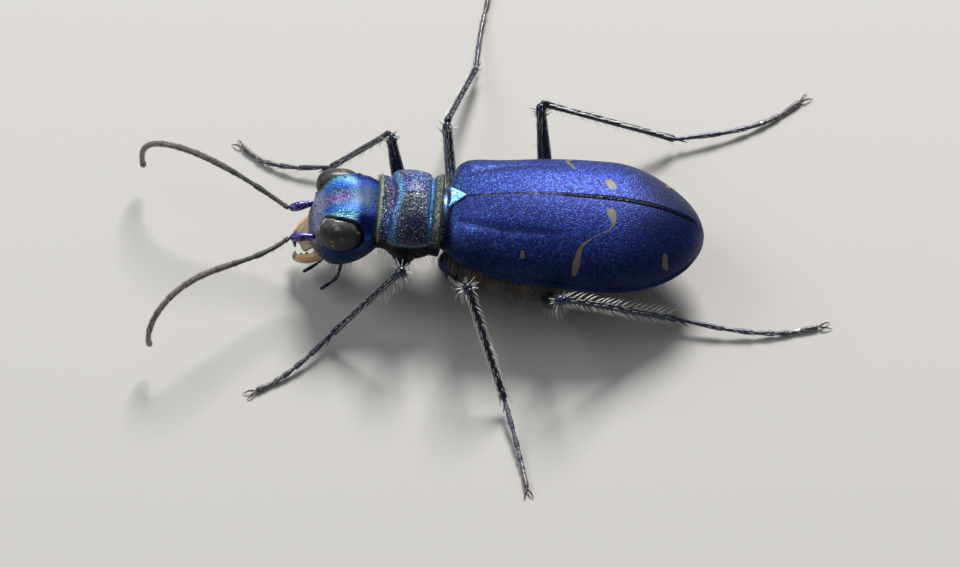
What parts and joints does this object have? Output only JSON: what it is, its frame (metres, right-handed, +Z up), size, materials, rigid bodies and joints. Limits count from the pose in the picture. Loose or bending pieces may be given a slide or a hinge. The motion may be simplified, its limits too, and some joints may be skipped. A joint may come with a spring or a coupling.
{
  "type": "tiger beetle",
  "caption": "Life-size still model of a blue tiger beetle, standing on six spread, bristly legs with its feelers held out in front of big eyes and pale jaws.",
  "frame": {"origin": "on the floor, under the middle of the box around the whole beetle with its legs and feelers", "axes": "-X is the way the head points, +X the tail end, +Z up from the floor, and +Y the beetle's own right side"},
  "size_m": [0.0214, 0.0204, 0.0035],
  "materials": {
    "wing_case": "satin, finely punctured violet-blue chitin with ivory spots",
    "scutellum": "bright cyan-blue chitin",
    "thorax": "granular metallic chitin, blue with copper and green",
    "head": "glossy metallic chitin, blue with green and magenta",
    "underside": "dark blue-green metallic chitin with long white hair",
    "eye": "grey-brown faceted eye with a white sheen",
    "ivory": "pale ivory chitin, dark at the teeth",
    "leg": "dark metallic blue-green with white bristles",
    "foot": "purple-blue, paler towards the claws",
    "feeler": "dull olive-grey down",
    "bristle": "stiff white bristles and grey-brown hair"
  },
  "bodies": {
    "root": {"elytron_left": "wing_case", "elytron_right": "wing_case", "scutellum": "scutellum", "pterothorax": "underside", "abdomen": "underside", "prothorax": "thorax", "head": "head", "eye_left": "eye", "eye_right": "eye", "labrum": "ivory", "mandible_left": "ivory", "mandible_right": "ivory", "labial_palp_left": "leg", "labial_palp_right": "leg", "maxillary_palp_left": "leg", "maxillary_palp_right": "leg", "antenna_left_scape": "leg", "antenna_left_base": "feeler", "antenna_left_middle": "feeler", "antenna_left_tip": "feeler", "antenna_right_scape": "leg", "antenna_right_base": "feeler", "antenna_right_middle": "feeler", "antenna_right_tip": "feeler", "coxa_left_fore": "underside", "femur_left_fore": "leg", "tibia_left_fore": "leg", "tarsus_left_fore": "foot", "coxa_left_mid": "underside", "femur_left_mid": "leg", "tibia_left_mid": "leg", "tarsus_left_mid": "foot", "coxa_left_hind": "underside", "femur_left_hind": "leg", "tibia_left_hind": "leg", "tarsus_left_hind": "foot", "coxa_right_fore": "underside", "femur_right_fore": "leg", "tibia_right_fore": "leg", "tarsus_right_fore": "foot", "coxa_right_mid": "underside", "femur_right_mid": "leg", "tibia_right_mid": "leg", "tarsus_right_mid": "foot", "coxa_right_hind": "underside", "femur_right_hind": "leg", "tibia_right_hind": "leg", "tarsus_right_hind": "foot"}
  },
  "joints": []
}
